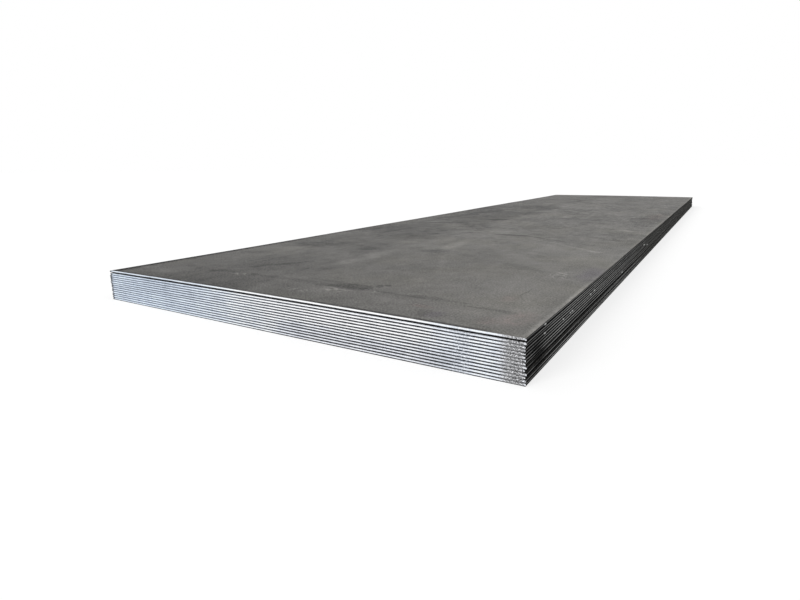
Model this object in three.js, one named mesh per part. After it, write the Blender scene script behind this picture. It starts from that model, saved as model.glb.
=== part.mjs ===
import * as THREE from 'three';
import { mergeVertices } from 'three/addons/utils/BufferGeometryUtils.js';

// A stack of hot-rolled heavy steel plates, cut to one stock size and piled flush by crane.
// The long edges are mill edges, left round by the rolls. The short ends are sheared.
//
// Units are millimetres and +Z is up. The origin is the centre of the footprint, on the level
// that the bottom plate lies on. +Y runs along the plates, and the near ends are at -Y.
// plate_01 is the bottom plate.

// Stock size of one plate. The thickness is that of its long edges.
const PLATE_COUNT = 14;
const PLATE_WIDTH = 2200;
const PLATE_LENGTH = 8000;
const EDGE_THICKNESS = 10;

// Rolling leaves the middle of the width a little thicker than its edges.
const CROWN = 0.38;

// Mill scale and small flatness errors keep two stacked plates apart. Near the long edges
// shallow waves open and close that gap by a share of it.
const SEAT_GAP = 0.66;
const EDGE_WAVE_SHARE = 0.3;
const EDGE_WAVE_LENGTH = 2900;
const EDGE_WAVE_BAND = 450;

// The top plate carries no load, so its near end keeps a slight upward curl.
const END_CURL = 2.6;
const END_CURL_REACH = 1400;

// Section of a sheared end, from the top face down: a rounded rollover, the upright burnished
// band that the blade wiped, the fracture that leans inwards, and a blunted lower corner.
const ROLLOVER_DEPTH = 2.2;
const ROLLOVER_REACH = 4;
const BURNISH_SHARE = 0.28;
const FRACTURE_LEAN = 0.5;
const CORNER_BLUNT = 0.8;

// A mill edge bulges into a round nose, this far from where the flat faces end.
const NOSE_REACH = 4;

// How far each plate lies out of line with the stack, bottom plate first: along the width,
// along the length, and how many times CAMBER its long edges bow sideways.
const SIDE_SHIFTS = [1.5, 1.5, -1.5, 3.5, -3.5, 2.5, -1.5, -0.5, -2.5, -2.5, -3, -3, -0.5, 0];
const END_SHIFTS = [0.5, -0.5, 0.5, -1, 1, -0.5, 0.5, 0, -1, 0.5, 0, -0.5, 1, -1];
const CAMBER_TURNS = [0, 0.5, 1, -0.5, 0.5, -0.5, 1, -1, 0.5, 1, 0.5, 1, -1, 0];
const CAMBER = 2.5;

// Facets of one plate. The odd number across the width keeps the middle strip level.
const WIDTH_SEGMENTS = 7;
const CURL_SEGMENTS = 4;
const BODY_SEGMENTS = 8;

const MILL_SCALE_GREY = 0x6f6e6c;
const TINT_STEP = 0.015;

// The edge's corners from the lower face (share 0 of the thickness) to the top face (share 1),
// each with how far it is set in from the plate's outline at an end and at a long edge.
function edgeSection() {
  const rolloverShare = ROLLOVER_DEPTH / EDGE_THICKNESS;
  const rolloverInset = (share) => {
    const down = (1 - share) / rolloverShare;
    return ROLLOVER_REACH * (1 - Math.sqrt(1 - (1 - down) ** 2));
  };
  const noseInset = (share) => NOSE_REACH * (1 - Math.sqrt(1 - (2 * share - 1) ** 2));
  const fractureTop = 1 - rolloverShare - BURNISH_SHARE;
  const corners = [
    { share: 0, atEnd: FRACTURE_LEAN + CORNER_BLUNT },
    { share: CORNER_BLUNT / EDGE_THICKNESS, atEnd: FRACTURE_LEAN },
    { share: fractureTop / 2, atEnd: FRACTURE_LEAN / 2 },
    { share: fractureTop, atEnd: 0 },
  ];
  for (const down of [1, 0.5, 0.13, 0]) {
    const share = 1 - rolloverShare * down;
    corners.push({ share, atEnd: rolloverInset(share) });
  }
  return corners.map((corner) => ({ ...corner, atLongEdge: noseInset(corner.share) }));
}

// Lines across the plate, as shares of its length from the near end: close together where the
// near end may curl, then even to the far end.
function lengthLines() {
  const curlShare = END_CURL_REACH / PLATE_LENGTH;
  const lines = [];
  for (let step = 0; step < CURL_SEGMENTS; step += 1) {
    lines.push(curlShare * (step / CURL_SEGMENTS));
  }
  for (let step = 0; step <= BODY_SEGMENTS; step += 1) {
    lines.push(curlShare + (1 - curlShare) * (step / BODY_SEGMENTS));
  }
  return lines;
}

function thicknessAt(x) {
  return EDGE_THICKNESS + CROWN * (1 - (2 * x / PLATE_WIDTH) ** 2);
}

// Gap under one layer. Each layer's waves are out of step with those of its neighbours.
function gapUnder(layer, x, y) {
  const fromLongEdge = PLATE_WIDTH / 2 - Math.abs(x);
  const nearness = 1 - THREE.MathUtils.smoothstep(fromLongEdge, 0, EDGE_WAVE_BAND);
  const wave = Math.sin(2 * Math.PI * y / EDGE_WAVE_LENGTH + layer * layer);
  let gap = SEAT_GAP * (1 + EDGE_WAVE_SHARE * nearness * wave);
  if (layer === PLATE_COUNT - 1) {
    const fromNearEnd = y + PLATE_LENGTH / 2;
    gap += END_CURL * (1 - THREE.MathUtils.smoothstep(fromNearEnd, 0, END_CURL_REACH));
  }
  return gap;
}

function undersideAt(layer, x, y) {
  let height = 0;
  for (let below = 1; below <= layer; below += 1) {
    height += thicknessAt(x) + gapUnder(below, x, y);
  }
  return height;
}

// One plate, lying on the faces of those below it. The geometry is in the plate's own frame,
// which the mesh's position then sets in the stack.
function makePlate(layer) {
  const place = new THREE.Vector3(
    SIDE_SHIFTS[layer % SIDE_SHIFTS.length],
    END_SHIFTS[layer % END_SHIFTS.length],
    layer * (EDGE_THICKNESS + SEAT_GAP),
  );
  const camber = CAMBER * CAMBER_TURNS[layer % CAMBER_TURNS.length];
  const section = edgeSection();
  const lines = lengthLines();
  const geometry = new THREE.BoxGeometry(
    1, 1, 1, WIDTH_SEGMENTS, lines.length - 1, section.length - 1,
  );
  geometry.deleteAttribute('normal');
  geometry.deleteAttribute('uv');

  const position = geometry.attributes.position;
  for (let i = 0; i < position.count; i += 1) {
    const corner = section[Math.round((position.getZ(i) + 0.5) * (section.length - 1))];
    const line = lines[Math.round((position.getY(i) + 0.5) * (lines.length - 1))];
    // Across the width the facets get narrower towards the long edges, where the waves are.
    const across = Math.sin(Math.PI * position.getX(i));
    const along = 2 * line - 1;
    const x = across * (PLATE_WIDTH / 2 - corner.atLongEdge) + camber * (1 - along * along);
    const y = along * (PLATE_LENGTH / 2 - corner.atEnd);
    const rise = thicknessAt(x + place.x) * corner.share;
    const z = undersideAt(layer, x + place.x, y + place.y) + rise - place.z;
    position.setXYZ(i, x, y, z);
  }

  const closed = mergeVertices(geometry, 0.001);
  closed.computeVertexNormals();
  const colour = new THREE.Color(MILL_SCALE_GREY).offsetHSL(0, 0, TINT_STEP * (layer % 3 - 1));
  const material = new THREE.MeshStandardMaterial({ color: colour, metalness: 0.8, roughness: 0.6 });
  const plate = new THREE.Mesh(closed, material);
  plate.name = `plate_${String(layer + 1).padStart(2, '0')}`;
  plate.position.copy(place);
  return plate;
}

const stack = new THREE.Group();
for (let layer = 0; layer < PLATE_COUNT; layer += 1) {
  stack.add(makePlate(layer));
}

export default stack;
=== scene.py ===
import bpy
import math
from mathutils import Matrix, Vector


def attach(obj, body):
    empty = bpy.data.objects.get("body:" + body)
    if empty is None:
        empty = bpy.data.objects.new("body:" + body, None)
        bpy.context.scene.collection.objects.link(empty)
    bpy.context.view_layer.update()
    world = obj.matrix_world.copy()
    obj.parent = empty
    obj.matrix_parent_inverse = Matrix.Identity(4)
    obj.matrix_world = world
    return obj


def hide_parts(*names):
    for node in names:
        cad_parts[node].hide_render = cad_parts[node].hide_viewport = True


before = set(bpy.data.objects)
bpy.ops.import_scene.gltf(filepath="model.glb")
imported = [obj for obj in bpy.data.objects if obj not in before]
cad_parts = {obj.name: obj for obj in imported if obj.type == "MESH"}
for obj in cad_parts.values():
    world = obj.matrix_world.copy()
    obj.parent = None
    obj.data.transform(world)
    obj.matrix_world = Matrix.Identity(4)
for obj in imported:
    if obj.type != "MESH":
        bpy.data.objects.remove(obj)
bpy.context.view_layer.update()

# ---- Camera ----------------------------------------------------------------------------------
# It stands a little over knee height, off the near right corner of the stack, and looks down a
# little. Its wide lens is shifted, so that the stack sits in the middle of the picture.
CAMERA_PLACE = Vector((1.5729, -5.4251, 0.6520))
CAMERA_YAW = math.radians(-30.90)
CAMERA_PITCH = math.radians(10.33)
CAMERA_ROLL = math.radians(-0.52)
FOCAL_PIXELS = 518.3
SENSOR_WIDTH = 36  # in millimetres
PICTURE_WIDTH, PICTURE_HEIGHT = 800, 600
LENS_CENTRE = Vector((415.9, 262.3))  # in pixels

camera_data = bpy.data.cameras.new("camera")
camera_data.sensor_width = SENSOR_WIDTH
camera_data.lens = SENSOR_WIDTH * FOCAL_PIXELS / PICTURE_WIDTH
camera_data.shift_x = (PICTURE_WIDTH / 2 - LENS_CENTRE.x) / PICTURE_WIDTH
camera_data.shift_y = (LENS_CENTRE.y - PICTURE_HEIGHT / 2) / PICTURE_WIDTH
camera = bpy.data.objects.new("camera", camera_data)
bpy.context.scene.collection.objects.link(camera)
ahead = Vector((
    math.sin(CAMERA_YAW) * math.cos(CAMERA_PITCH),
    math.cos(CAMERA_YAW) * math.cos(CAMERA_PITCH),
    -math.sin(CAMERA_PITCH),
))
right = Vector((math.cos(CAMERA_YAW), -math.sin(CAMERA_YAW), 0))
up = right.cross(ahead)
facing = Matrix((right, up, -ahead)).transposed().to_4x4() @ Matrix.Rotation(CAMERA_ROLL, 4, "Z")
camera.matrix_world = Matrix.Translation(CAMERA_PLACE) @ facing
bpy.context.scene.camera = camera

# ---- Steel plates ----------------------------------------------------------------------------
# Fourteen hot-rolled plates, each rolled in one piece. The long edges are left round by the
# rolls, and a guillotine has sheared the ends, so each end has a rounded rollover on top, an
# upright burnished band, and a torn fracture below. The plates only lie on each other.
# Sizes are in metres.
PLATE_LENGTH = 8.0
PLATE_WIDTH = 2.2
HALF_LENGTH = PLATE_LENGTH / 2
HALF_WIDTH = PLATE_WIDTH / 2
TOP_PLATE = 13  # the plates are numbered from 0
END_STEP = 0.006  # spacing of the outline's points along a sheared end
SIDE_STEP = 0.016  # and along a mill edge
SECTION_STEPS = 11  # facets from the lower face to the top face, closest near the faces
FACE_STEP = 0.11  # spacing of the points inside a face
FACE_MARGIN = 0.10  # strip between those points and the outline
SEAT_REACH = 0.012  # how far inside the edge the height of a face is read
MIDDLE_REACH = 0.2  # half the stretch along a plate over which its middle is found
# The sheared ends. A share is of the thickness, and a reach is how far in from the outline.
ROLLOVER_SHARE = 0.22
ROLLOVER_REACH = 0.004
ROLLOVER_WANDER = 0.8  # of its reach, from the least to the most
ROLLOVER_WANDERS = 11  # to the metre
FRACTURE_SHARE = 0.5
FRACTURE_LEAN = 0.0005
TOP_FRACTURE_LEAN = 0.003  # the top plate was cut last, with the blades set wide
BLUNT_SHARE = 0.08
BLUNT_REACH = 0.0008
TEAR_DEPTH = 0.0009
TEAR_WIDTH = 0.009
TEAR_HEIGHT = 0.02  # the thickness, as the tear's pattern takes it
TEAR_ENDS = (0.35, 0.6)  # shares over which the tear dies out
# The mill edges.
NOSE_REACH = 0.004
MILL_WANDER = 0.0010  # how far an edge wanders in and out
MILL_WANDER_LENGTH = 0.45
NICK_DEPTH = 0.006
NICK_LENGTH = 0.05
NICK_HEIGHT = 0.03  # the thickness, as the nicks' pattern takes it
NICK_STARTS = (0.66, 0.9)  # noise at which a nick begins, and at which it is deepest
# The mesh.
SEED_SPACING = 7.3  # sets the plates' patterns apart
ON_OUTLINE = 0.99999  # a point whose across or along is past this is on the outline
ON_FACE = 0.4999  # and one whose share is this far from a half is on a face
RAY_START = 0.1  # how far outside the plain plate a ray starts
RAY_LENGTH = 1.0
STRIP_MERGE = 0.0002  # points of a face that are nearer than this are one
PLATE_MERGE = 0.00001  # and so are points of the whole plate
SHARP_ANGLE = math.radians(32)


class Value:
    """A number that a node tree works out, so that sums are written as sums."""

    def __init__(self, socket):
        self.socket = socket

    def maths(self, operation, *values):
        node = self.socket.id_data.nodes.new("ShaderNodeMath")
        node.operation = operation
        for value, socket in zip(values, node.inputs):
            plug(value, socket)
        return Value(node.outputs[0])

    def __add__(self, other):
        return self.maths("ADD", self, other)

    def __radd__(self, other):
        return self + other

    def __sub__(self, other):
        return self.maths("SUBTRACT", self, other)

    def __rsub__(self, other):
        return self.maths("SUBTRACT", other, self)

    def __mul__(self, other):
        return self.maths("MULTIPLY", self, other)

    def __rmul__(self, other):
        return self * other

    def __truediv__(self, other):
        return self.maths("DIVIDE", self, other)

    def __abs__(self):
        return self.maths("ABSOLUTE", self)

    def over(self, other):
        return self.maths("GREATER_THAN", self, other)

    def under(self, other):
        return self.maths("LESS_THAN", self, other)

    def most(self, other):
        return self.maths("MAXIMUM", self, other)

    def least(self, other):
        return self.maths("MINIMUM", self, other)

    def root(self):
        return self.maths("SQRT", self)

    def cosine(self):
        return self.maths("COSINE", self)

    def rounded(self):
        return self.maths("ROUND", self)

    def held(self):
        """Held between 0 and 1."""
        return self.most(0).least(1)

    def ramp(self, start, end, smooth=True):
        """0 at start and 1 at end, held outside them."""
        node = self.socket.id_data.nodes.new("ShaderNodeMapRange")
        node.interpolation_type = "SMOOTHSTEP" if smooth else "LINEAR"
        for value, name in ((self, "Value"), (start, "From Min"), (end, "From Max")):
            plug(value, node.inputs[name])
        return Value(node.outputs["Result"])

    def fade(self, start, end):
        """1 at start and 0 at end, held outside them."""
        return 1 - self.ramp(start, end)

    def band(self, start, full, fading, end):
        """0 up to start, 1 from full to fading, and 0 from end on."""
        return self.ramp(start, full) * self.fade(fading, end)


def plug(value, socket):
    """Feeds a socket from a Value or another socket, or sets it to a plain value."""
    if isinstance(value, Value):
        value = value.socket
    if isinstance(value, bpy.types.NodeSocket):
        socket.id_data.links.new(value, socket)
    else:
        socket.default_value = value


def add(tree, kind, options=None, **inputs):
    """Adds a node. An input's name is written with _ for each space."""
    node = tree.nodes.new(kind)
    for name, option in (options or {}).items():
        setattr(node, name, option)
    for name, value in inputs.items():
        plug(value, node.inputs[name.replace("_", " ")])
    return node


def split(tree, vector):
    """The three numbers of a vector."""
    node = add(tree, "ShaderNodeSeparateXYZ", Vector=vector)
    return tuple(Value(output) for output in node.outputs)


def joined(tree, x=0, y=0, z=0):
    """A vector of three numbers."""
    return add(tree, "ShaderNodeCombineXYZ", X=x, Y=y, Z=z).outputs[0]


def noise(tree, place, scale=1.0, detail=2.0, roughness=0.5, seed=0.0, distortion=0.0):
    """Noise from about 0 to 1. A different seed gives a different pattern."""
    node = add(
        tree, "ShaderNodeTexNoise", {"noise_dimensions": "4D"}, Vector=place, W=seed, Scale=scale,
        Detail=detail, Roughness=roughness, Distortion=distortion,
    )
    return Value(node.outputs[0])


def new_material(name, roughness, specular, metallic=0.0):
    """A material with its node tree and its shader."""
    material = bpy.data.materials.new(name)
    material.use_nodes = True
    shader = material.node_tree.nodes["Principled BSDF"]
    shader.inputs["Roughness"].default_value = roughness
    shader.inputs["Specular IOR Level"].default_value = specular
    shader.inputs["Metallic"].default_value = metallic
    return material, material.node_tree, shader


def blended(tree, share, low, high):
    """The colour low where share is 0 and high where it is 1."""
    node = add(tree, "ShaderNodeMix", {"data_type": "RGBA"}, Factor=share)
    for name, colour in (("A", low), ("B", high)):
        plug((*colour, 1) if isinstance(colour, tuple) else colour, node.inputs[name])
    return node.outputs["Result"]


def toned(tree, colour, tone):
    """The colour, lighter or darker by the factor tone."""
    node = add(tree, "ShaderNodeVectorMath", {"operation": "SCALE"}, Scale=tone)
    plug(colour, node.inputs[0])
    return node.outputs[0]


# An oval mark fades out between these shares of its reach.
SOFT_RIM = (0.35, 1.15)
SHARP_RIM = (0.72, 1.05)


def distance(tree, place, centre, reach):
    """How far a place is from a mark's centre, as a share of the mark's reach."""
    for operation, value in (("SUBTRACT", centre), ("DIVIDE", reach), ("LENGTH", (0, 0, 0))):
        node = add(tree, "ShaderNodeVectorMath", {"operation": operation})
        plug(place, node.inputs[0])
        plug(value, node.inputs[1])
        place = node.outputs[0]
    return Value(node.outputs["Value"])


def oval(tree, place, centre, reach, turn=0, ragged=0, rim=SOFT_RIM):
    """1 inside an oval mark and 0 outside it, with a rim that is as ragged as the noise."""
    if turn:
        place = add(
            tree, "ShaderNodeVectorRotate", {"rotation_type": "Z_AXIS"}, Vector=place,
            Center=(*centre, 0), Angle=math.radians(-turn),
        ).outputs[0]
    return (distance(tree, place, (*centre, 0), (*reach, 1)) + ragged).fade(*rim)


def kept_number(tree, name):
    """A number that the mesh keeps at each of its points."""
    return Value(add(tree, "ShaderNodeAttribute", {"attribute_name": name}).outputs["Fac"])


def on_top(plate):
    """1 on the top plate and 0 on the others."""
    return plate.over(TOP_PLATE - 0.5)


def beside(place, edge, strip):
    """1 beside an edge, up to the first distance in from it, and 0 past the second."""
    full, end = strip
    return place.ramp(edge - end, edge - full)


def bumped(tree, shader, height, depth):
    """Gives the shader a fine relief."""
    node = add(tree, "ShaderNodeBump", Height=height, Distance=depth)
    tree.links.new(node.outputs[0], shader.inputs["Normal"])


# The finish of the rolled faces. Places on them are in metres from the middle of the stack, with
# x to the right and y to the far end.
SCALE_GREY = (0.1450, 0.1408, 0.1326)
STRAW_TINT = (1.02, 1.01, 0.94)
RUST_TINT = (1.17, 0.95, 0.94)
OIL_TINT = (0.98, 0.93, 1.08)
SCALE_ROUGHNESS = 0.62
# Stretches along the plates over which something comes on or fades. The near end is at -4.
CLOUDS_GROW = (-3.4, -1.6)
COARSE_BEGINS = (-3.4, 0.5)
COARSE_FADES = (1.0, 3.0)
LEFT_OIL_FADES = (0.2, 4.0)
LEFT_OIL_THICKENS = (-2.9, -2.3)
NEAR_OIL_FADES = (-4.0, -3.0)
CLEAN_FADES = (-2.4, -1.0)
DULLS = (0.0, 4.0)
MARKS_FRAY = (-3.7, -2.6)
# The painted highlight along the +X rim begins, fades and comes again here.
RIM_HIGHLIGHT_BEGINS = (-4.02, -3.86)
RIM_HIGHLIGHT_FADES = (-3.4, -2.9)
RIM_HIGHLIGHT_AGAIN = (1.5, 3.0)
DARK_RIM_FADES = (-3.6, -1.6)
# The same across the plates, where the +X edge is at 1.1.
LEFT_OIL_EDGE = (-0.36, -0.08)
NEAR_OIL_EDGE = (-0.2, 0.6)
CLEAN_EDGE = (0.4, 0.8)
# The painted dark strip beside the ends grows and stops across the plates here.
END_SHADE_GROWS = (0.0, 0.4)
END_SHADE_STOPS = (0.90, 1.05)
# Strips beside the edges: how far in each is full, and how far in it ends.
RIM_HIGHLIGHT_STRIP = (0.012, 0.030)
DARK_RIM_STRIP = (0.010, 0.090)
END_SHADE_STRIP = (0.014, 0.030)
END_SHADE_CORNER = (0.05, 0.25)
# Marks on the top plate's face: where each lies, half its length and width, its turn from +X in
# degrees, and how much lighter or darker it is. Oil and wear leave soft ones.
SOFT_MARKS = (
    ("wet line left by a bearer", (-0.05, -3.732), (0.80, 0.028), 0, -0.20),
    ("wet edge of its thick end", (0.10, -3.675), (0.16, 0.020), -4, -0.20),
    ("its left blot", (-0.60, -3.735), (0.06, 0.034), 40, -0.30),
    ("far left blot", (-0.84, -3.715), (0.06, 0.030), 0, -0.18),
    ("run-off from it", (-0.46, -3.50), (0.26, 0.030), 57, -0.30),
    ("scuffed patch", (0.14, -3.83), (0.15, 0.05), -8, 0.14),
    ("dark corner of the patch", (0.26, -3.93), (0.10, 0.04), 30, -0.12),
    ("clean patch by the left corner", (-0.83, -3.85), (0.15, 0.09), 10, 0.22),
    ("dull near edge", (-0.20, -3.90), (0.50, 0.13), 0, -0.10),
    ("clean patch by the blots", (0.51, -3.815), (0.11, 0.035), -6, 0.14),
    ("dull patch by the near edge", (0.730, -3.915), (0.085, 0.055), 0, -0.28),
    ("dull strip beside it", (0.90, -3.945), (0.10, 0.022), 0, -0.20),
    ("clean patch there", (0.82, -3.83), (0.09, 0.03), 0, 0.16),
    ("rubbed right corner", (1.00, -3.78), (0.08, 0.16), 0, 0.28),
    ("dark wedge", (0.24, -3.22), (0.16, 0.15), -25, -0.18),
    ("dark spots", (0.07, -2.69), (0.08, 0.09), 0, -0.32),
    ("dark spots to the left", (-0.34, -2.80), (0.08, 0.09), 0, -0.26),
    ("stain at the left edge", (-0.74, -2.76), (0.24, 0.15), 25, -0.34),
    ("clean strip under it", (-0.84, -2.99), (0.15, 0.09), 20, 0.22),
    ("second stain there", (-0.88, -3.22), (0.13, 0.06), 15, -0.26),
    ("rubbed by the rolls", (-0.15, -2.95), (0.07, 0.22), 8, 0.26),
    ("rubbed below that", (-0.17, -3.25), (0.06, 0.13), 0, 0.22),
    ("rubbed beside it", (0.07, -2.40), (0.06, 0.28), 6, 0.34),
    ("rubbed strip", (0.29, -3.00), (0.030, 0.26), 24, 0.14),
    ("dull band on the right", (0.70, -2.94), (0.20, 0.06), -22, -0.26),
    ("second dull band", (0.68, -2.59), (0.16, 0.05), -36, -0.24),
    ("dull band behind the arc", (0.78, -1.63), (0.24, 0.07), -25, -0.26),
    ("clean ground before the arc", (0.62, -2.20), (0.30, 0.12), -34, 0.16),
    ("stain along the left edge", (-0.80, -0.20), (0.10, 0.95), -8, -0.34),
    ("dull patch on the right", (0.93, -1.45), (0.11, 0.28), 0, -0.22),
    ("dull ground beyond it", (0.96, -0.10), (0.16, 0.75), 0, -0.34),
    ("dull ground far off", (0.52, 1.05), (0.22, 0.45), 0, -0.20),
    ("rubbed strip far off", (-0.12, 0.55), (0.07, 0.34), 0, 0.30),
    ("far bearer line", (-0.18, 3.62), (0.32, 0.10), 5, -0.50),
)
# Drips, scrapes and scratches have clear edges.
SHARP_MARKS = (
    ("thick end of the bearer's line", (0.228, -3.713), (0.120, 0.054), 8, -0.42),
    ("its second blot", (0.592, -3.722), (0.092, 0.030), 6, -0.32),
    ("damp between the two", (0.46, -3.73), (0.08, 0.012), 0, -0.18),
    ("damp past the second", (0.73, -3.725), (0.07, 0.013), 0, -0.26),
    ("thin end of the line", (0.88, -3.752), (0.115, 0.015), 3, -0.36),
    ("its blunt tip", (0.965, -3.768), (0.035, 0.018), 0, -0.26),
    ("drip", (0.332, -3.655), (0.020, 0.032), 40, -0.42),
    ("end of the drip", (0.356, -3.628), (0.026, 0.014), -20, -0.42),
    ("fine scratch", (0.908, -3.440), (0.005, 0.095), 0, -0.36),
    ("roll mark", (0.99, -3.115), (0.10, 0.010), -16, 0.26),
    ("second roll mark", (0.93, -2.99), (0.050, 0.012), -35, 0.34),
    ("bearer line farther off", (0.22, -1.775), (0.16, 0.030), 0, -0.60),
    ("its thin end", (0.54, -1.88), (0.22, 0.020), -28, -0.40),
    ("scraped arc", (0.55, -1.985), (0.17, 0.020), -28, 0.26),
    ("its lower part", (0.80, -2.175), (0.19, 0.026), -36, 0.34),
    ("its bright end", (0.93, -2.270), (0.055, 0.028), 0, 0.42),
    ("scrape on the right", (0.92, -1.10), (0.09, 0.030), -20, 0.36),
    ("scraped spots", (0.20, -0.21), (0.06, 0.055), 0, 0.70),
    ("drag line behind them", (0.19, 0.16), (0.14, 0.050), 0, -0.36),
    ("drag line by the left edge", (-0.72, -1.85), (0.24, 0.022), 78, -0.40),
    ("drag line beside it", (-0.32, -1.96), (0.16, 0.018), 72, -0.40),
    ("bright line beside that", (-0.12, -1.94), (0.10, 0.018), 68, 0.34),
    ("dark line by the bearer's", (-0.10, -1.77), (0.12, 0.030), 11, -0.40),
    ("bright line behind it", (0.09, -1.56), (0.10, 0.035), 27, 0.34),
    ("dark line at the stain", (-0.63, -1.15), (0.26, 0.050), 34, -0.50),
    ("its end", (-0.32, -0.75), (0.14, 0.050), 25, -0.44),
    ("drag line far off", (-0.15, 0.27), (0.28, 0.024), 70, -0.34),
    ("drag line to its left", (-0.21, 0.85), (0.25, 0.030), 84, -0.40),
    ("drag line to its right", (0.13, 0.35), (0.21, 0.030), -45, -0.36),
    ("drag line beyond them", (-0.28, 2.27), (0.62, 0.030), 77, -0.40),
)
# Places where the scale has flaked off in spots, with fine scratches, with flecks of rust, or
# under a film of oil.
FLAKED = (
    ("by the rubbed strip", (-0.15, -3.00), (0.08, 0.20)),
    ("below it", (-0.17, -3.26), (0.06, 0.12)),
    ("beside it", (0.09, -2.46), (0.07, 0.16)),
    ("on the arc", (0.90, -2.25), (0.12, 0.05)),
)
SCUFFED = (
    ("under the thick end", (0.200, -3.790), (0.08, 0.030)),
    ("at its right end", (0.340, -3.750), (0.05, 0.020)),
    ("towards the edge", (0.07, -3.87), (0.08, 0.035)),
    ("on the left", (-0.43, -3.75), (0.06, 0.05)),
    ("by the roll mark", (0.93, -3.03), (0.07, 0.12)),
)
RUSTED = (
    ("near the end", (0.65, -3.84), (0.06, 0.03)),
    ("by the near edge", (0.925, -3.885), (0.05, 0.05)),
    ("right corner", (1.01, -3.82), (0.07, 0.11)),
    ("by the scratch", (0.885, -3.57), (0.04, 0.07)),
    ("on the right, far off", (0.98, 0.20), (0.10, 0.50)),
)
OILED = (
    ("by the near edge", (0.742, -3.912), (0.035, 0.055)),
    ("right edge", (1.05, -2.93), (0.07, 0.20)),
)


def wandering(tree, x, y, flat, scale, reach):
    """A place that noise shifts by up to half the reach, so that the marks' outlines wander."""
    wander_x = x + (noise(tree, flat, scale=scale, detail=4, roughness=0.6, seed=6) - 0.5) * reach
    wander_y = y + (noise(tree, flat, scale=scale, detail=4, roughness=0.6, seed=7) - 0.5) * reach
    return joined(tree, wander_x, wander_y)


def marks_on_top(tree, x, y, flat, mottle, specks):
    """How much lighter or darker the marks are than the scale, and where rust and oil lie."""
    soft_place = wandering(tree, x, y, flat, scale=5, reach=0.08)
    sharp_place = wandering(tree, x, y, flat, scale=9, reach=0.03)
    ragged = (mottle - 0.5) * 2.2 + (specks - 0.5) * 1.2
    ragged = ragged * (0.55 + y.ramp(*MARKS_FRAY) * 0.45)

    def within(places):
        inside = 0
        for _, centre, reach in places:
            inside = oval(tree, soft_place, centre, reach, ragged=ragged) + inside
        return inside

    marks = 0
    for _, centre, reach, turn, change in SOFT_MARKS:
        marks = oval(tree, soft_place, centre, reach, turn, ragged) * change + marks
    marks = marks * (0.3 + mottle) * 1.35
    for _, centre, reach, turn, change in SHARP_MARKS:
        mark = oval(tree, sharp_place, centre, reach, turn, ragged * 0.35, rim=SHARP_RIM)
        marks = mark * change + marks
    scratches = noise(tree, flat, scale=22, detail=3, roughness=0.5, seed=8)
    scratches = abs(scratches - 0.5).fade(0.008, 0.040)
    flakes = noise(tree, flat, scale=26, detail=5, roughness=0.75, seed=10).ramp(0.50, 0.60)
    marks = marks + within(SCUFFED) * scratches * 1.1 + within(FLAKED) * flakes * 0.30
    return marks, within(RUSTED), within(OILED)


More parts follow.
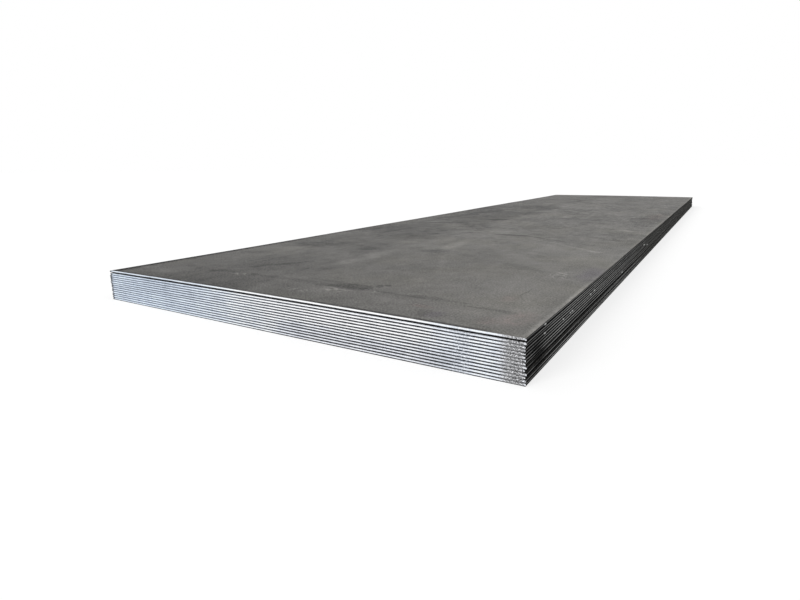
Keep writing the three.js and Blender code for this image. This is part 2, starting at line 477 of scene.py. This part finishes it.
def mill_scale():
    """Grey oxide from the rolls, cloudy, with oil, drag marks and flaked spots."""
    material, tree, shader = new_material("mill_scale", roughness=SCALE_ROUGHNESS, specular=0.2)
    place = add(tree, "ShaderNodeTexCoord").outputs["Object"]
    x, y, _ = split(tree, place)
    plate = kept_number(tree, "plate")
    top = on_top(plate)
    flat = joined(tree, x, y, plate * 3)
    clouds = noise(tree, flat, scale=1.7, detail=8, roughness=0.70, seed=2, distortion=0.6)
    mottle = noise(tree, flat, scale=12, detail=7, roughness=0.80, seed=4, distortion=0.5)
    specks = noise(tree, flat, scale=130, detail=3, roughness=0.8, seed=3)
    straw = noise(tree, flat, scale=2.6, detail=4, roughness=0.6, seed=12).ramp(0.45, 0.65)
    creases = noise(tree, flat, scale=4.5, detail=5, roughness=0.62, seed=9, distortion=0.4)
    creases = abs(creases - 0.5).fade(0.0, 0.06)

    # These run along the plate, as it was rolled and dragged.
    rolled = noise(tree, joined(tree, x * 4, y * 0.45, plate), detail=6, roughness=0.72, seed=5)
    grain = noise(tree, joined(tree, x * 60, y * 5, plate), detail=5, roughness=0.75, seed=13)
    drags = noise(tree, joined(tree, x * 12, y, plate), detail=4, roughness=0.7, seed=14)
    drags = drags.ramp(0.54, 0.66)

    # The scale is plainer by the near end and coarser in the middle.
    coarse = y.ramp(*COARSE_BEGINS) * (1 - y.ramp(*COARSE_FADES) * 0.4)
    tone = 1 + (clouds - 0.5) * (1.04 + y.ramp(*CLOUDS_GROW) * 1.3) + (rolled - 0.5) * 0.8
    tone = tone - creases * (0.05 + coarse * 0.13) + (mottle - 0.5) * (0.92 + coarse * 1.48)
    tone = tone + (specks - 0.5) * (4.5 + coarse * 2.0) + (grain - 0.5) * coarse * 2.0

    # Oil has darkened the left third and the near end, and the right side is cleaner.
    oil_edge = x + (clouds - 0.5) * 0.8
    left = oil_edge.fade(*LEFT_OIL_EDGE) * (1 - y.ramp(*LEFT_OIL_FADES) * 0.7)
    left = left * (0.28 + y.ramp(*LEFT_OIL_THICKENS) * 0.03 + drags * 0.25)
    near = y.fade(*NEAR_OIL_FADES) * x.fade(*NEAR_OIL_EDGE)
    right = x.ramp(*CLEAN_EDGE) * (1 - y.ramp(*CLEAN_FADES) * 0.7)
    tone = tone - left - near * 0.14 + right * 0.17 - y.ramp(*DULLS) * 0.02
    marks, rusted, oiled = marks_on_top(tree, x, y, flat, mottle, specks)
    tone = tone + marks * top

    # A painted highlight lightens the scale along the +X rim, broken up by noise, and the rim
    # along the near part of the other edge is darker. Beside the ends the scale is painted dark:
    # painted shade in the seams on the lower plates, and a dark line above the cut on the top
    # plate. The plates under the top one are painted darker all over, as shade of the seams.
    rubbed = beside(x, HALF_WIDTH, RIM_HIGHLIGHT_STRIP) * rolled.ramp(0.35, 0.60)
    rubbed = rubbed * (0.35 + y.fade(*RIM_HIGHLIGHT_FADES) * 0.75 + y.ramp(*RIM_HIGHLIGHT_AGAIN) * 0.65)
    rubbed = rubbed * y.ramp(*RIM_HIGHLIGHT_BEGINS)
    # The rim along the near part of the -X edge is darker.
    dark_rim_x = x + (mottle - 0.5) * 0.08 + (rolled - 0.5) * 0.05
    dark_rim = beside(0 - dark_rim_x, HALF_WIDTH, DARK_RIM_STRIP) * (1 - y.ramp(*DARK_RIM_FADES) * 0.8)
    # Painted dark strip beside the ends: strongest short of +X, fainter at the -X corner.
    middle = x.fade(*END_SHADE_STOPS) * (0.45 + x.ramp(*END_SHADE_GROWS) * 0.55)
    end_shade = middle * rolled.ramp(0.3, 0.6) + beside(0 - x, HALF_WIDTH, END_SHADE_CORNER) * 0.25
    end_shade = end_shade * beside(abs(y), HALF_LENGTH, END_SHADE_STRIP)
    tone = tone + rubbed * (0.3 + mottle.ramp(0.30, 0.60) * 0.7) * 1.4 - dark_rim * 0.75 - end_shade
    # Painted shade of the seams: the plates under the top one are darker.
    tone = tone * (0.35 + top * 0.65)

    colour = SCALE_GREY
    rusted = rusted * (0.15 + mottle.ramp(0.42, 0.60) * 0.5)
    for share, tint in (
        (straw * 0.5, STRAW_TINT), (rusted * top, RUST_TINT), (oiled * top * 0.7, OIL_TINT),
    ):
        tinted = tuple(grey * part for grey, part in zip(SCALE_GREY, tint))
        colour = blended(tree, share.least(1), colour, tinted)
    plug(toned(tree, colour, tone.most(0.1)), shader.inputs["Base Color"])
    plug(SCALE_ROUGHNESS - (mottle - 0.5) * 0.3 + dark_rim * 0.3, shader.inputs["Roughness"])
    bumped(tree, shader, mottle + specks * 0.4 + creases * 0.2, depth=0.0012)
    return material


# The finish of the sheared ends.
BURNISHED = (0.915, 0.94, 1.0)
BURNISHED_BLUE = (0.75, 0.84, 0.97)  # an oil film tints the cuts on the -X side
# The torn zone's dull steel, painted near black as the shade of the seams between the plates.
TORN_AND_SEAM_SHADE = (0.030, 0.032, 0.037)
TORN_BLUE = (0.26, 0.30, 0.37)
CHATTER = (0.43, 0.43, 0.435)
CHATTER_REACH = 0.100  # the blade chattered this far in from the +X corner
CHATTER_END = 0.010  # stops short of the corner, left bright as a painted tip highlight
CHATTER_FADES = (0.05, 0.006)  # the lengths over which it comes on, and goes off
CHATTER_GRAIN = 0.016  # how far the grain shifts its outline
CORNER_SHADE = (0.008, 0.022)  # painted shade on the -X corner: how far in it is full, and ends
SKIP_PLACE = 0.885  # it also skipped here
SKIP_REACH = 0.045
CUT_HEIGHT = 0.012  # the thickness, as the cuts' patterns take it
TORN_SHARE = 0.32  # of the thickness
TORN_FADE = 0.14
WIPED_SHARES = (0.65, 0.80)
# Stretches across the stack, from the -X end at -1.1. A band begins, is full, fades and ends.
OIL_FADES = (-0.9, 0.4)
BASE_SHADE_FADES = (0.1, 0.5)
WIPED_BEGINS = (0.15, 0.40)
MIDDLE_BAND = (-0.4, 0.1, 0.65, 0.85)
BLUE_BAND = (0.70, 0.85, 1.00, 1.04)
WET_BAND = (-0.15, 0.20, 0.80, 0.95)
FILMED_BAND = (-1.0, -0.85, -0.5, -0.3)
# Plates over which the same come on or fade.
WET_FADES = (3, 8)
CLEAN_BEGINS = (7, 11)
FILMED_BEGINS = (5, 8)


def sheared_steel():
    """Bare steel: wiped bright by the blade above, torn dull below and painted dark there as the
    seams' shade, grainy by the +X corner.
    """
    material, tree, shader = new_material(
        "sheared_steel", roughness=0.38, specular=0.15, metallic=0.7,
    )
    place = add(tree, "ShaderNodeTexCoord").outputs["Object"]
    share = kept_number(tree, "share")
    plate = kept_number(tree, "plate")
    top = on_top(plate)
    x, y, _ = split(tree, place)
    near_end = y.under(0)
    on_cut = joined(tree, x, share * CUT_HEIGHT, plate * 0.4)
    patches = noise(tree, on_cut, scale=16, detail=4, roughness=0.6)
    grains = noise(tree, on_cut, scale=230, detail=2, roughness=0.6).ramp(0.38, 0.62)
    stroke_place = joined(tree, x * 260, share * 0.8, plate * 0.3)
    strokes = noise(tree, stroke_place, detail=3, roughness=0.6)
    blade = noise(tree, joined(tree, x), scale=9, detail=5, roughness=0.65)

    # Where the blade skipped, it left bright spots.
    skipped = near_end * abs(x - SKIP_PLACE).fade(SKIP_REACH * 0.4, SKIP_REACH)
    spots = skipped * noise(tree, on_cut, scale=190, detail=1, seed=2).ramp(0.60, 0.68)

    # The tear reaches higher in the middle of a cut, and on the top plate. Its near black is a
    # painted shade of the seams, black on the top plate, and on the lowest plate it is painted
    # darker towards the -X side, as shade along the base.
    oily = x.fade(*OIL_FADES)
    blue = oily * (1 - top * 0.25) + x.band(*BLUE_BAND) * 0.25
    middle = x.band(*MIDDLE_BAND)
    reach = TORN_SHARE + middle * 0.05 + top * (0.07 + oily * 0.08)
    bright = (share + (patches - 0.5) * 0.30 - reach).ramp(0, TORN_FADE)
    bright = bright.most(spots)
    torn = blended(tree, oily + skipped * 0.25, TORN_AND_SEAM_SHADE, TORN_BLUE)
    # Painted shade along the base darkens the lowest plate's tear towards the -X side.
    base_shade = plate.under(0.5) * x.fade(*BASE_SHADE_FADES)
    torn = toned(tree, torn, 1 - top * 0.95 - base_shade * 0.75)
    colour = blended(tree, bright, torn, blended(tree, blue, BURNISHED, BURNISHED_BLUE))

    # The blade chattered by the +X corner, and left a dull grain there. It stops short of the
    # corner, which is left bright as a painted highlight on the tips.
    chatter_start = HALF_WIDTH - CHATTER_REACH
    chatter_end = HALF_WIDTH - CHATTER_END
    fade_in, fade_out = CHATTER_FADES
    grainy_x = x + (grains - 0.5) * CHATTER_GRAIN
    dull = near_end * grainy_x.ramp(chatter_start, chatter_start + fade_in)
    dull = dull * grainy_x.fade(chatter_end, chatter_end + fade_out)
    dull = dull * (0.50 + bright * 0.35) * (1 - top * (1 - bright))
    colour = blended(tree, dull, colour, CHATTER)
    # Painted shade darkens the -X corner of each cut.
    dark = beside(0 - x, HALF_WIDTH, CORNER_SHADE)
    tone = 1.02 + (patches - 0.5) * 0.3 + (grains - 0.5) * (0.16 + dull * 1.8 + skipped * 0.3)
    tone = tone + (strokes - 0.5) * 0.6 + (blade - 0.5) * 0.5 - dark * 0.85

    # The lower plates stood in the wet and are duller on the +X half. The upper ones are clean in
    # the middle and a little duller on the -X side. Each cut drifts lighter and darker.
    wet = plate.fade(*WET_FADES) * x.band(*WET_BAND)
    clean = plate.ramp(*CLEAN_BEGINS) * middle
    filmed = plate.ramp(*FILMED_BEGINS) * x.band(*FILMED_BAND)
    tone = tone - wet * 0.24 + clean * 0.10 - filmed * 0.10 + middle * 0.16 - skipped * 0.10
    drift = noise(tree, joined(tree, x * 5, plate * 1.7), detail=3, roughness=0.6, seed=11)
    tone = tone + (drift - 0.5) * 0.35
    plug(toned(tree, colour, tone.most(0.1)), shader.inputs["Base Color"])
    plug(0.6 - bright * 0.25, shader.inputs["Roughness"])

    # The plate under the top one is wiped matt up to its upper edge.
    second = plate.over(TOP_PLATE - 1.5) - top
    wiped = second * share.ramp(*WIPED_SHARES) * x.ramp(*WIPED_BEGINS) * 0.6
    plug(bright * 0.8 * (1 - dull) * (1 - wiped), shader.inputs["Metallic"])
    bumped(tree, shader, grains * 0.4 + strokes * 0.5, depth=0.0003)
    return material


# The finish of the mill edges.
MILL_EDGE_BLACK = (0.011, 0.011, 0.0115)
SHEEN_GREY = (0.049, 0.049, 0.046)  # a painted grazing sheen over the black towards the far end
# The painted highlight along the upper part of each nose.
NOSE_HIGHLIGHT = (0.56, 0.56, 0.55)
BARE_STEEL = (0.72, 0.73, 0.72)
# Chips where the lifting chains bit the +X edges: their place along the plates, their height in
# the stack and their half length.
CHIPS = (
    (-3.815, 0.147, 0.014), (-3.807, 0.114, 0.014), (-3.583, 0.1035, 0.012),
    (-3.485, 0.1035, 0.010), (-3.455, 0.1035, 0.016), (-3.149, 0.1035, 0.020),
    (-3.069, 0.1035, 0.020), (-2.370, 0.062, 0.030), (-1.494, 0.1035, 0.050),
    (-1.310, 0.081, 0.050),
)
CHIP_DEPTH = 0.014
CHIP_HEIGHT = 0.0035
CHIP_RIM = (0.5, 1.0)
NOSE_HIGHLIGHT_BAND = (0.68, 0.78, 0.86, 0.95)  # shares of the thickness, as in the bands above
HIGHLIGHT_NOISE = (0.34, 0.56)  # noise at which the painted highlight is weakest and strongest
HIGHLIGHT_BRIGHTENS = (-4.0, -3.6)  # along the plates
SHEEN_BEGINS = (-3.0, -1.0)
SMUDGE = (-3.88, 0.065)  # grease on the same edges: along the plates, and its height
SMUDGE_REACH = (0.075, 0.055)


def chips(tree, place):
    """1 inside a chip on the +X edges, and 0 elsewhere."""
    inside = 0
    for along, height, reach in CHIPS:
        centre = (HALF_WIDTH, along, height)
        away = distance(tree, place, centre, (CHIP_DEPTH, reach, CHIP_HEIGHT))
        inside = away.fade(*CHIP_RIM) + inside
    return inside.least(1)


def mill_edge():
    """Black scale on the round long edges, with painted nose highlights and sheen, and bare chips.
    """
    material, tree, shader = new_material("mill_edge", roughness=0.8, specular=0.0)
    place = add(tree, "ShaderNodeTexCoord").outputs["Object"]
    share = kept_number(tree, "share")
    plate = kept_number(tree, "plate")
    x, y, z = split(tree, place)
    highlight_noise = noise(tree, joined(tree, y * 0.5, plate * 3.1), detail=5, roughness=0.7)
    highlight_noise = highlight_noise.ramp(*HIGHLIGHT_NOISE)
    grain = noise(tree, place, scale=120, detail=3, roughness=0.6)
    streaks = noise(tree, joined(tree, y * 4, plate * 5.3), detail=4, roughness=0.6)
    ragged = (streaks - 0.5) * 2.5

    # Grease is on the +X edges, and a painted grazing sheen lightens them towards the far end.
    right_edge = x.over(0)
    smudge = oval(tree, joined(tree, y, z), SMUDGE, SMUDGE_REACH, ragged=ragged) * right_edge
    far_sheen = y.ramp(*SHEEN_BEGINS) * right_edge

    # The painted highlight along each nose lies above half the thickness, and is faint on the
    # top plate.
    line = share.band(*NOSE_HIGHLIGHT_BAND) * (1 - far_sheen * 0.55)
    line = line * (1 - smudge * 0.8) * (1 - on_top(plate) * 0.5)
    line = line * (0.5 + y.ramp(*HIGHLIGHT_BRIGHTENS) * 0.5)
    colour = blended(tree, far_sheen, MILL_EDGE_BLACK, SHEEN_GREY)
    colour = blended(tree, line * (0.25 + highlight_noise * 0.75), colour, NOSE_HIGHLIGHT)
    colour = blended(tree, chips(tree, place), colour, BARE_STEEL)
    plug(toned(tree, colour, 1 + (grain - 0.5) * 0.8), shader.inputs["Base Color"])
    bumped(tree, shader, grain, depth=0.0004)
    return material


def stored(tree, geometry, name, value):
    """The geometry with a number kept at each of its points."""
    options = {"data_type": "FLOAT", "domain": "POINT"}
    node = add(
        tree, "GeometryNodeStoreNamedAttribute", options, Geometry=geometry, Name=name, Value=value,
    )
    return node.outputs[0]


def kept(tree, name):
    """The number of that name that the geometry keeps."""
    node = add(tree, "GeometryNodeInputNamedAttribute", {"data_type": "FLOAT"}, Name=name)
    return Value(node.outputs["Attribute"])


def joined_geometry(tree, *parts):
    """The parts in one geometry."""
    node = add(tree, "GeometryNodeJoinGeometry")
    for part in reversed(parts):
        tree.links.new(part, node.inputs[0])
    return node.outputs[0]


def with_material(tree, geometry, material, selection=True):
    """The geometry with a material on the faces selected."""
    node = add(
        tree, "GeometryNodeSetMaterial", Geometry=geometry, Selection=selection, Material=material,
    )
    return node.outputs[0]


def outline(size, point):
    """Where a point of the outline lies: across and along, each from -1 to 1.

    The points are numbered round the outline, from the near left corner.
    """
    right_side = point - size["End Points"]
    far_end = right_side - size["Side Points"]
    left_side = far_end - size["End Points"]
    across = (point / size["End Points"]).held() - (far_end / size["End Points"]).held()
    along = (right_side / size["Side Points"]).held() - (left_side / size["Side Points"]).held()
    return across * 2 - 1, along * 2 - 1


def edge_band(tree, size):
    """The edge: a band round the outline, from the lower face up to the top face."""
    band = add(
        tree, "GeometryNodeMeshGrid", Size_X=1.0, Size_Y=1.0,
        Vertices_X=size["Outline Points"] + 1, Vertices_Y=SECTION_STEPS + 1,
    ).outputs["Mesh"]
    round_it, up_it, _ = split(tree, add(tree, "GeometryNodeInputPosition").outputs[0])
    across, along = outline(size, ((round_it + 0.5) * size["Outline Points"]).rounded())
    share = 0.5 - ((up_it + 0.5) * math.pi).cosine() * 0.5
    for name, value in (("across", across), ("along", along), ("share", share)):
        band = stored(tree, band, name, value)
    return band


def plain_face(tree, size):
    """A face: a coarse grid, and a strip that joins it to the outline's points."""
    line = add(tree, "GeometryNodeMeshLine", Count=size["Outline Points"]).outputs[0]
    index = Value(add(tree, "GeometryNodeInputIndex").outputs[0])
    across, along = outline(size, index)
    corner = joined(tree, across * size["Width"] / 2, along * size["Length"] / 2)
    line = add(tree, "GeometryNodeSetPosition", Geometry=line, Position=corner).outputs[0]
    rim = add(tree, "GeometryNodeMeshToCurve", Mesh=line).outputs[0]
    rim = add(tree, "GeometryNodeSetSplineCyclic", Geometry=rim, Cyclic=True).outputs[0]
    inner_width = size["Width"] - FACE_MARGIN * 2
    inner_length = size["Length"] - FACE_MARGIN * 2
    inner = add(
        tree, "GeometryNodeMeshGrid", Size_X=inner_width, Size_Y=inner_length,
        Vertices_X=(inner_width / FACE_STEP).rounded(),
        Vertices_Y=(inner_length / FACE_STEP).rounded(),
    ).outputs["Mesh"]
    faces_beside = Value(add(tree, "GeometryNodeInputMeshEdgeNeighbors").outputs[0])
    inner_rim = add(
        tree, "GeometryNodeMeshToCurve", Mesh=inner, Selection=faces_beside.under(1.5),
    ).outputs[0]
    rims = joined_geometry(tree, rim, inner_rim)
    strip = add(tree, "GeometryNodeFillCurve", Curve=rims).outputs[0]
    face = joined_geometry(tree, inner, strip)
    face = add(tree, "GeometryNodeMergeByDistance", Geometry=face, Distance=STRIP_MERGE).outputs[0]
    x, y, _ = split(tree, add(tree, "GeometryNodeInputPosition").outputs[0])
    face = stored(tree, face, "across", x / (size["Width"] / 2))
    return stored(tree, face, "along", y / (size["Length"] / 2))


def end_inset(tree, size, x, y, share):
    """How far in from the outline a point of a sheared end lies."""
    seed = size["Seed"] * SEED_SPACING
    down = ((1 - share) / ROLLOVER_SHARE).held()
    rollover = ROLLOVER_REACH * (1 - (1 - (1 - down) * (1 - down)).root())
    rolling = noise(tree, joined(tree, x, y), scale=ROLLOVER_WANDERS, detail=3, seed=seed)
    rollover = rollover * (1 + (rolling - 0.5) * ROLLOVER_WANDER)
    fracture = (1 - share / FRACTURE_SHARE).held()
    lean = size["Fracture Lean"] * fracture + BLUNT_REACH * (1 - share / BLUNT_SHARE).held()
    tear_place = joined(tree, x, y, share * TEAR_HEIGHT)
    torn = noise(tree, tear_place, scale=1 / TEAR_WIDTH, detail=3, roughness=0.6, seed=seed)
    tear = size["Tear Depth"] * torn * share.fade(*TEAR_ENDS)
    return rollover + lean + tear


def side_inset(tree, size, x, y, share):
    """How far in from the outline a point of a mill edge lies."""
    seed = size["Seed"] * SEED_SPACING
    up = share * 2 - 1
    nose = NOSE_REACH * (1 - (1 - up * up).most(0).root())
    wander = noise(tree, joined(tree, x, y), scale=1 / MILL_WANDER_LENGTH, detail=3, seed=seed)
    nick_place = joined(tree, x, y, share * NICK_HEIGHT)
    nicked = noise(tree, nick_place, scale=1 / NICK_LENGTH, seed=seed)
    nicks = size["Nick Depth"] * nicked.ramp(*NICK_STARTS, smooth=False)
    return nose + size["Mill Wander"] * wander + nicks


def face_height(tree, blank, x, y, from_z, direction):
    """The height of the plain plate's face, met by a ray up or down."""
    ray = add(
        tree, "GeometryNodeRaycast", Target_Geometry=blank, Ray_Direction=(0, 0, direction),
        Source_Position=joined(tree, x, y, from_z), Ray_Length=RAY_LENGTH,
    )
    return split(tree, ray.outputs["Hit Position"])[2]


def shaded_smooth(tree, plate):
    """The plate with its section's arcs smooth, and a crease where the faces meet them."""
    angle = Value(add(tree, "GeometryNodeInputMeshEdgeAngle").outputs["Unsigned Angle"])
    crease = angle.over(SHARP_ANGLE).most(abs(kept(tree, "share") - 0.5).over(ON_FACE))
    plate = add(
        tree, "GeometryNodeSetShadeSmooth", {"domain": "FACE"}, Geometry=plate, Shade_Smooth=True,
    ).outputs[0]
    return add(
        tree, "GeometryNodeSetShadeSmooth", {"domain": "EDGE"}, Geometry=plate, Selection=crease,
        Shade_Smooth=False,
    ).outputs[0]


def plate_tree():
    """The nodes that turn a plain plate into one with torn ends and wandering mill edges."""
    tree = bpy.data.node_groups.new("rolled_plate", "GeometryNodeTree")
    tree.interface.new_socket("Geometry", in_out="OUTPUT", socket_type="NodeSocketGeometry")
    tree.interface.new_socket("Geometry", in_out="INPUT", socket_type="NodeSocketGeometry")
    for name, value in (
        ("Width", PLATE_WIDTH), ("Length", PLATE_LENGTH), ("Shift", 0.0), ("Bow", 0.0),
        ("End Step", END_STEP), ("Side Step", SIDE_STEP), ("Fracture Lean", FRACTURE_LEAN),
        ("Tear Depth", TEAR_DEPTH), ("Mill Wander", MILL_WANDER), ("Nick Depth", NICK_DEPTH),
    ):
        socket = tree.interface.new_socket(name, in_out="INPUT", socket_type="NodeSocketFloat")
        socket.default_value = value
    tree.interface.new_socket("Seed", in_out="INPUT", socket_type="NodeSocketInt")
    given = add(tree, "NodeGroupInput").outputs
    blank = given["Geometry"]
    size = {name: Value(given[name]) for name in given.keys() if name not in ("", "Geometry")}
    size["End Points"] = (size["Width"] / size["End Step"]).rounded()
    size["Side Points"] = (size["Length"] / size["Side Step"]).rounded()
    size["Outline Points"] = (size["End Points"] + size["Side Points"]) * 2

    # The plate is first a flat pattern, whose points keep how far across and along it they lie,
    # and at what share of its thickness.
    face = plain_face(tree, size)
    lower = add(tree, "GeometryNodeFlipFaces", Mesh=face).outputs[0]
    plate = joined_geometry(
        tree, edge_band(tree, size), stored(tree, face, "share", 1.0),
        stored(tree, lower, "share", 0.0),
    )
    across, along, share = (kept(tree, name) for name in ("across", "along", "share"))
    on_side = abs(across).over(ON_OUTLINE)
    on_end = abs(along).over(ON_OUTLINE)
    half_width = size["Width"] / 2
    half_length = size["Length"] / 2
    flat_x = across * half_width
    flat_y = along * half_length
    inset_x = side_inset(tree, size, flat_x, flat_y, share) * on_side
    inset_y = end_inset(tree, size, flat_x, flat_y, share) * on_end

    # Heights come from the plain plate, just inside its edge.
    box = add(tree, "GeometryNodeBoundBox", Geometry=blank)
    _, low_y, low_z = split(tree, box.outputs["Min"])
    _, high_y, high_z = split(tree, box.outputs["Max"])
    middle_y = (low_y + high_y) / 2
    bow = size["Shift"] + size["Bow"] * (1 - along * along)
    seat_x = across * (half_width - SEAT_REACH) + bow
    seat_y = along * (half_length - SEAT_REACH) + middle_y
    lower_z = face_height(tree, blank, seat_x, seat_y, low_z - RAY_START, 1)
    upper_z = face_height(tree, blank, seat_x, seat_y, high_z + RAY_START, -1)
    x = across * (half_width - inset_x) + bow
    y = along * (half_length - inset_y) + middle_y
    place = joined(tree, x, y, lower_z + (upper_z - lower_z) * share)
    plate = add(tree, "GeometryNodeSetPosition", Geometry=plate, Position=place).outputs[0]
    plate = add(
        tree, "GeometryNodeMergeByDistance", Geometry=plate, Distance=PLATE_MERGE,
    ).outputs[0]
    plate = stored(tree, shaded_smooth(tree, plate), "plate", size["Seed"])

    # A face of the edge lies between the plate's two faces, and at an end it is a cut.
    plate = add(tree, "GeometryNodeRealizeInstances", Geometry=plate).outputs[0]
    on_edge = abs(kept(tree, "share") - 0.5).under(ON_FACE)
    on_cut = on_edge * abs(kept(tree, "along")).over(ON_OUTLINE)
    plate = with_material(tree, plate, mill_scale())
    plate = with_material(tree, plate, mill_edge(), on_edge)
    plate = with_material(tree, plate, sheared_steel(), on_cut)
    tree.links.new(plate, add(tree, "NodeGroupOutput").inputs[0])
    return tree


def bow_of(mesh):
    """Where a CAD plate's ends are centred across the width, and how far its middle is bowed."""
    far_y = max(corner.co.y for corner in mesh.vertices)

    def centre(corners):
        across = [corner.co.x for corner in corners]
        return (min(across) + max(across)) / 2

    shift = centre([corner for corner in mesh.vertices if corner.co.y > far_y - SEAT_REACH])
    middle = centre([corner for corner in mesh.vertices if abs(corner.co.y) < MIDDLE_REACH])
    return shift, middle - shift


rolled_plate = plate_tree()
socket_of = {item.name: item.identifier for item in rolled_plate.interface.items_tree}
for number, name in enumerate(sorted(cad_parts)):
    blank = bpy.data.objects.new("blank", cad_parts[name].data)
    bpy.context.scene.collection.objects.link(blank)
    rolling = blank.modifiers.new("rolling", "NODES")
    rolling.node_group = rolled_plate
    shift, bow = bow_of(blank.data)
    lean = TOP_FRACTURE_LEAN if number == TOP_PLATE else FRACTURE_LEAN
    settings = {"Shift": shift, "Bow": bow, "Fracture Lean": lean, "Seed": number}
    for input_name, value in settings.items():
        rolling[socket_of[input_name]] = value
    depsgraph = bpy.context.evaluated_depsgraph_get()
    mesh = bpy.data.meshes.new_from_object(blank.evaluated_get(depsgraph))
    mesh.materials.pop(index=0)  # the blank's empty slot, which no face uses
    bpy.data.objects.remove(blank)
    plate = bpy.data.objects.new(f"steel_{name}", mesh)
    bpy.context.scene.collection.objects.link(plate)
    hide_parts(name)
    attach(plate, "root")

# ---- Floor and light -------------------------------------------------------------------------
# A plain white studio: the floor and the backdrop are one white, with a soft shadow under the
# stack. A wide lamp far off to the front left lights the near ends.
FLOOR_SIZE = 400
FLOOR_WHITE = 0.72  # the floor's own white, which only the camera and reflections see
FLOOR_MATT = 0.4
AMBIENT = 0.6
KEY_STRENGTH = 1.2
KEY_SPREAD = math.radians(25)
KEY_FROM = Vector((-3, -8, 4))


def seen_white(tree):
    """1 for rays from the camera or off a glossy surface, and 0 for light on the object."""
    path = add(tree, "ShaderNodeLightPath")
    return Value(path.outputs["Is Camera Ray"]).most(Value(path.outputs["Is Glossy Ray"]))


floor_mesh = bpy.data.meshes.new("floor")
half = FLOOR_SIZE / 2
floor_mesh.from_pydata(
    [(-half, -half, 0), (half, -half, 0), (half, half, 0), (-half, half, 0)], [], [(0, 1, 2, 3)],
)
floor = bpy.data.objects.new("floor", floor_mesh)
bpy.context.scene.collection.objects.link(floor)
floor_material = bpy.data.materials.new("floor")
floor_material.use_nodes = True
tree = floor_material.node_tree
tree.nodes.clear()
matt = add(tree, "ShaderNodeBsdfDiffuse", Color=(FLOOR_MATT, FLOOR_MATT, FLOOR_MATT, 1))
glow = add(tree, "ShaderNodeEmission", Strength=seen_white(tree) * FLOOR_WHITE)
both = add(tree, "ShaderNodeAddShader")
tree.links.new(matt.outputs[0], both.inputs[0])
tree.links.new(glow.outputs[0], both.inputs[1])
add(tree, "ShaderNodeOutputMaterial", Surface=both.outputs[0])
floor_mesh.materials.append(floor_material)

world = bpy.data.worlds.new("studio")
world.use_nodes = True
bpy.context.scene.world = world
tree = world.node_tree
background = tree.nodes["Background"]
plug((1, 1, 1, 1), background.inputs["Color"])
plug(AMBIENT + seen_white(tree) * (1 - AMBIENT), background.inputs["Strength"])

key_data = bpy.data.lights.new("key", "SUN")
key_data.energy = KEY_STRENGTH
key_data.angle = KEY_SPREAD
key = bpy.data.objects.new("key", key_data)
key.rotation_euler = KEY_FROM.to_track_quat("Z", "Y").to_euler()
bpy.context.scene.collection.objects.link(key)

bpy.context.scene.view_settings.view_transform = "Standard"
